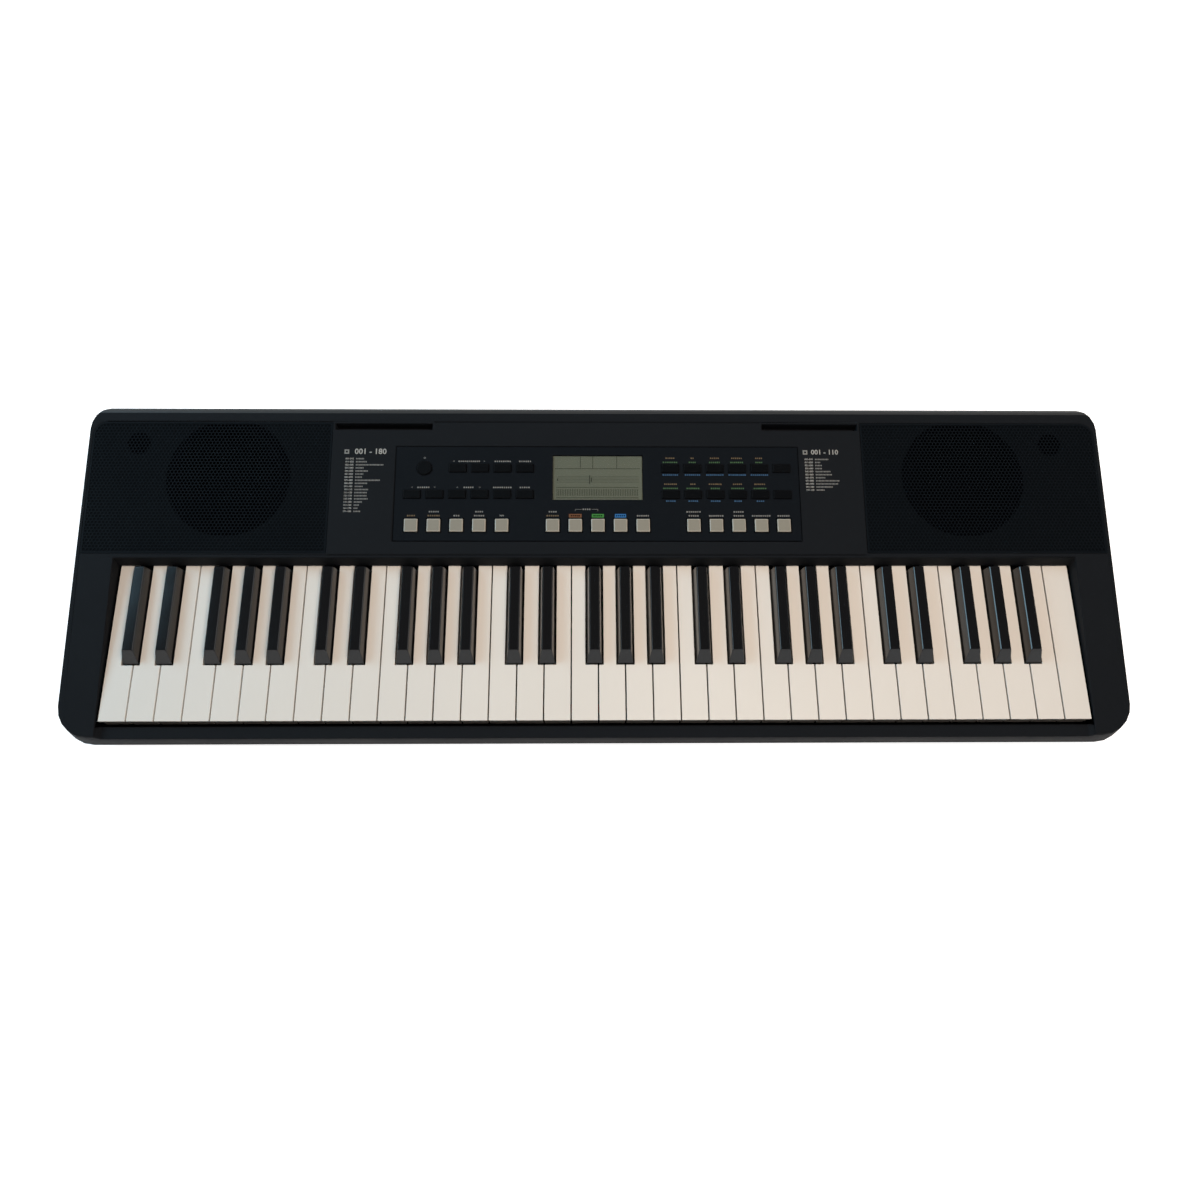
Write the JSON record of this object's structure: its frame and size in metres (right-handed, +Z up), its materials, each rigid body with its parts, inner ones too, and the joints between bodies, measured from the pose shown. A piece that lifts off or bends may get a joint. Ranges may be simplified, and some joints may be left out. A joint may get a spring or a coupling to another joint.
{
  "type": "portable keyboard",
  "caption": "Portable electronic keyboard with sprung white and black keys, push buttons, a display, two speaker grilles and a battery door underneath.",
  "frame": {"origin": "middle of the bounding box's base, where the feet stand", "axes": "+X along the keys to the right, +Y to the back, +Z up"},
  "size_m": [0.92, 0.304, 0.0888],
  "materials": {
    "case_black": "fine matt texture",
    "grille_black": "matt",
    "key_white": "gloss",
    "key_black": "gloss",
    "button_dark": "satin",
    "button_light": "matt",
    "window_clear": "gloss",
    "display_grey": "satin",
    "board_green": "satin",
    "rubber_black": "matt",
    "rubber_grey": "matt",
    "felt_red": "matt",
    "chassis_grey": "matt",
    "steel": "satin",
    "basket_black": "baked black enamel",
    "ferrite": "matt",
    "paper_black": "matt",
    "ribbon_ivory": "satin"
  },
  "bodies": {
    "case": {"upper_case": "case_black", "lower_case": "case_black", "control_panel": "case_black", "display_window": "window_clear", "display_module": "display_grey", "speaker_grille_left": "grille_black", "speaker_grille_right": "grille_black", "speaker_basket_left": "steel", "speaker_basket_right": "steel", "speaker_cone_left": "paper_black", "speaker_cone_right": "paper_black", "speaker_magnet_left": "ferrite", "speaker_magnet_right": "ferrite", "keybed_chassis": "chassis_grey", "key_contact_board": "board_green", "key_contact_rubber": "rubber_grey", "key_stop_felt": "felt_red", "main_board": "board_green", "panel_board": "board_green", "panel_ribbon": "ribbon_ivory", "button_mat": "rubber_grey", "socket_board": "board_green", "power_inlet": "rubber_black", "headphone_socket": "rubber_black", "pedal_socket": "rubber_black", "audio_input_socket": "rubber_black", "usb_socket": "steel", "battery_contact_minus": "steel", "battery_contact_plus": "steel", "foot_front_left": "rubber_black", "foot_front_middle": "rubber_black", "foot_front_right": "rubber_black", "foot_rear_left": "rubber_black", "foot_rear_right": "rubber_black"},
    "left_upper_buttons": {"left_upper_buttons": "button_dark"},
    "left_middle_buttons": {"left_middle_buttons": "button_dark"},
    "left_lower_buttons": {"left_lower_buttons": "button_light"},
    "centre_lower_buttons": {"centre_lower_buttons": "button_light"},
    "right_upper_buttons": {"right_upper_buttons": "button_dark"},
    "right_middle_buttons": {"right_middle_buttons": "button_dark"},
    "right_lower_buttons": {"right_lower_buttons": "button_light"},
    "power_button": {"power_button": "button_dark"},
    "keys_c_e_g_b_1": {"keys_c_e_g_b_1": "key_white"},
    "keys_d_f_a_1": {"keys_d_f_a_1": "key_white"},
    "keys_black_1": {"keys_black_1": "key_black"},
    "keys_c_e_g_b_2": {"keys_c_e_g_b_2": "key_white"},
    "keys_d_f_a_2": {"keys_d_f_a_2": "key_white"},
    "keys_black_2": {"keys_black_2": "key_black"},
    "keys_c_e_g_b_3": {"keys_c_e_g_b_3": "key_white"},
    "keys_d_f_a_3": {"keys_d_f_a_3": "key_white"},
    "keys_black_3": {"keys_black_3": "key_black"},
    "keys_c_e_g_b_4": {"keys_c_e_g_b_4": "key_white"},
    "keys_d_f_a_4": {"keys_d_f_a_4": "key_white"},
    "keys_black_4": {"keys_black_4": "key_black"},
    "keys_c_e_g_b_5": {"keys_c_e_g_b_5": "key_white"},
    "keys_d_f_a_5": {"keys_d_f_a_5": "key_white"},
    "keys_black_5": {"keys_black_5": "key_black"},
    "key_top_c": {"key_top_c": "key_white"},
    "battery_door": {"battery_door": "case_black"}
  },
  "joints": [
    {"name": "left_upper_buttons_press", "type": "slide", "parent": "case", "child": "left_upper_buttons", "axis": [0, 0.0995, -0.995], "range_m": [0, 0.0012], "stiffness_N_per_m": 400, "springref_m": -0.002},
    {"name": "left_middle_buttons_press", "type": "slide", "parent": "case", "child": "left_middle_buttons", "axis": [0, 0.0995, -0.995], "range_m": [0, 0.0012], "stiffness_N_per_m": 400, "springref_m": -0.002},
    {"name": "left_lower_buttons_press", "type": "slide", "parent": "case", "child": "left_lower_buttons", "axis": [0, 0.0995, -0.995], "range_m": [0, 0.0012], "stiffness_N_per_m": 400, "springref_m": -0.002},
    {"name": "centre_lower_buttons_press", "type": "slide", "parent": "case", "child": "centre_lower_buttons", "axis": [0, 0.0995, -0.995], "range_m": [0, 0.0012], "stiffness_N_per_m": 400, "springref_m": -0.002},
    {"name": "right_upper_buttons_press", "type": "slide", "parent": "case", "child": "right_upper_buttons", "axis": [0, 0.0995, -0.995], "range_m": [0, 0.0012], "stiffness_N_per_m": 400, "springref_m": -0.002},
    {"name": "right_middle_buttons_press", "type": "slide", "parent": "case", "child": "right_middle_buttons", "axis": [0, 0.0995, -0.995], "range_m": [0, 0.0012], "stiffness_N_per_m": 400, "springref_m": -0.002},
    {"name": "right_lower_buttons_press", "type": "slide", "parent": "case", "child": "right_lower_buttons", "axis": [0, 0.0995, -0.995], "range_m": [0, 0.0012], "stiffness_N_per_m": 400, "springref_m": -0.002},
    {"name": "power_button_press", "type": "slide", "parent": "case", "child": "power_button", "axis": [0, 0.0995, -0.995], "range_m": [0, 0.0012], "stiffness_N_per_m": 400, "springref_m": -0.002},
    {"name": "keys_c_e_g_b_1_hinge", "type": "hinge", "parent": "case", "child": "keys_c_e_g_b_1", "pos_m": [0, 0.027, 0.0528], "axis": [1, 0, 0], "range_deg": [0, 3.2], "stiffness_Nm_per_rad": 2, "springref_deg": -8.59},
    {"name": "keys_d_f_a_1_hinge", "type": "hinge", "parent": "case", "child": "keys_d_f_a_1", "pos_m": [0, 0.027, 0.0494], "axis": [1, 0, 0], "range_deg": [0, 3.2], "stiffness_Nm_per_rad": 2, "springref_deg": -8.59},
    {"name": "keys_black_1_hinge", "type": "hinge", "parent": "case", "child": "keys_black_1", "pos_m": [0, 0.027, 0.046], "axis": [1, 0, 0], "range_deg": [0, 3.2], "stiffness_Nm_per_rad": 2, "springref_deg": -8.59},
    {"name": "keys_c_e_g_b_2_hinge", "type": "hinge", "parent": "case", "child": "keys_c_e_g_b_2", "pos_m": [0, 0.027, 0.0528], "axis": [1, 0, 0], "range_deg": [0, 3.2], "stiffness_Nm_per_rad": 2, "springref_deg": -8.59},
    {"name": "keys_d_f_a_2_hinge", "type": "hinge", "parent": "case", "child": "keys_d_f_a_2", "pos_m": [0, 0.027, 0.0494], "axis": [1, 0, 0], "range_deg": [0, 3.2], "stiffness_Nm_per_rad": 2, "springref_deg": -8.59},
    {"name": "keys_black_2_hinge", "type": "hinge", "parent": "case", "child": "keys_black_2", "pos_m": [0, 0.027, 0.046], "axis": [1, 0, 0], "range_deg": [0, 3.2], "stiffness_Nm_per_rad": 2, "springref_deg": -8.59},
    {"name": "keys_c_e_g_b_3_hinge", "type": "hinge", "parent": "case", "child": "keys_c_e_g_b_3", "pos_m": [0, 0.027, 0.0528], "axis": [1, 0, 0], "range_deg": [0, 3.2], "stiffness_Nm_per_rad": 2, "springref_deg": -8.59},
    {"name": "keys_d_f_a_3_hinge", "type": "hinge", "parent": "case", "child": "keys_d_f_a_3", "pos_m": [0, 0.027, 0.0494], "axis": [1, 0, 0], "range_deg": [0, 3.2], "stiffness_Nm_per_rad": 2, "springref_deg": -8.59},
    {"name": "keys_black_3_hinge", "type": "hinge", "parent": "case", "child": "keys_black_3", "pos_m": [0, 0.027, 0.046], "axis": [1, 0, 0], "range_deg": [0, 3.2], "stiffness_Nm_per_rad": 2, "springref_deg": -8.59},
    {"name": "keys_c_e_g_b_4_hinge", "type": "hinge", "parent": "case", "child": "keys_c_e_g_b_4", "pos_m": [0, 0.027, 0.0528], "axis": [1, 0, 0], "range_deg": [0, 3.2], "stiffness_Nm_per_rad": 2, "springref_deg": -8.59},
    {"name": "keys_d_f_a_4_hinge", "type": "hinge", "parent": "case", "child": "keys_d_f_a_4", "pos_m": [0, 0.027, 0.0494], "axis": [1, 0, 0], "range_deg": [0, 3.2], "stiffness_Nm_per_rad": 2, "springref_deg": -8.59},
    {"name": "keys_black_4_hinge", "type": "hinge", "parent": "case", "child": "keys_black_4", "pos_m": [0, 0.027, 0.046], "axis": [1, 0, 0], "range_deg": [0, 3.2], "stiffness_Nm_per_rad": 2, "springref_deg": -8.59},
    {"name": "keys_c_e_g_b_5_hinge", "type": "hinge", "parent": "case", "child": "keys_c_e_g_b_5", "pos_m": [0, 0.027, 0.0528], "axis": [1, 0, 0], "range_deg": [0, 3.2], "stiffness_Nm_per_rad": 2, "springref_deg": -8.59},
    {"name": "keys_d_f_a_5_hinge", "type": "hinge", "parent": "case", "child": "keys_d_f_a_5", "pos_m": [0, 0.027, 0.0494], "axis": [1, 0, 0], "range_deg": [0, 3.2], "stiffness_Nm_per_rad": 2, "springref_deg": -8.59},
    {"name": "keys_black_5_hinge", "type": "hinge", "parent": "case", "child": "keys_black_5", "pos_m": [0, 0.027, 0.046], "axis": [1, 0, 0], "range_deg": [0, 3.2], "stiffness_Nm_per_rad": 2, "springref_deg": -8.59},
    {"name": "key_top_c_hinge", "type": "hinge", "parent": "case", "child": "key_top_c", "pos_m": [0, 0.027, 0.0528], "axis": [1, 0, 0], "range_deg": [0, 3.2], "stiffness_Nm_per_rad": 0.6, "springref_deg": -8.59},
    {"name": "battery_door_hinge", "type": "hinge", "parent": "case", "child": "battery_door", "pos_m": [0, 0.0515, 0.003], "axis": [-1, 0, 0], "range_deg": [0, 100]}
  ]
}
